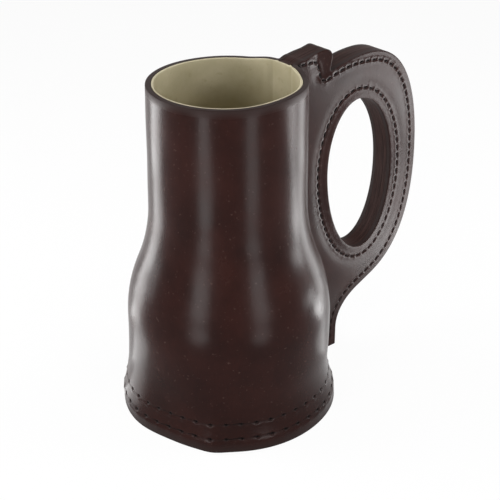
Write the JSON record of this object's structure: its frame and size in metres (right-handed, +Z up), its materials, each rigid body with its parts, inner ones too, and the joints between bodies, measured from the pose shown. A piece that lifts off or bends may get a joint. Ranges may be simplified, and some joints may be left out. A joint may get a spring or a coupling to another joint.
{
  "type": "leather tankard",
  "caption": "Sewn leather tankard: waisted body on a flared foot, flat layered handle with an oval finger hole and a raised thumb lug, pale coated inside.",
  "frame": {"origin": "on the table, under the middle of the outer box; the body axis stands at x = -33.9 mm", "axes": "+Z up out of the mouth, +X from the body towards the handle, the handle lies in the XZ plane"},
  "size_m": [0.1747, 0.1074, 0.1699],
  "materials": {
    "leather": "dark brown smooth vegetable-tanned leather, waxed to a soft gloss",
    "cut_leather": "burnished cut leather edge, dark brown",
    "lining": "pale cream food-safe coat, slightly uneven, satin",
    "thread": "dark brown waxed sewing thread"
  },
  "bodies": {
    "root": {"body_wrap": "leather", "handle_core_left": "cut_leather", "handle_core_middle": "cut_leather", "handle_core_right": "cut_leather", "base_cup": "leather", "lining": "lining", "edge_seam_thread_left": "thread", "edge_seam_thread_right": "thread", "hole_seam_thread_left": "thread", "hole_seam_thread_right": "thread", "base_upper_thread_outer": "thread", "base_upper_thread_inner": "thread", "base_lower_thread_outer": "thread", "base_lower_thread_inner": "thread"}
  },
  "joints": []
}
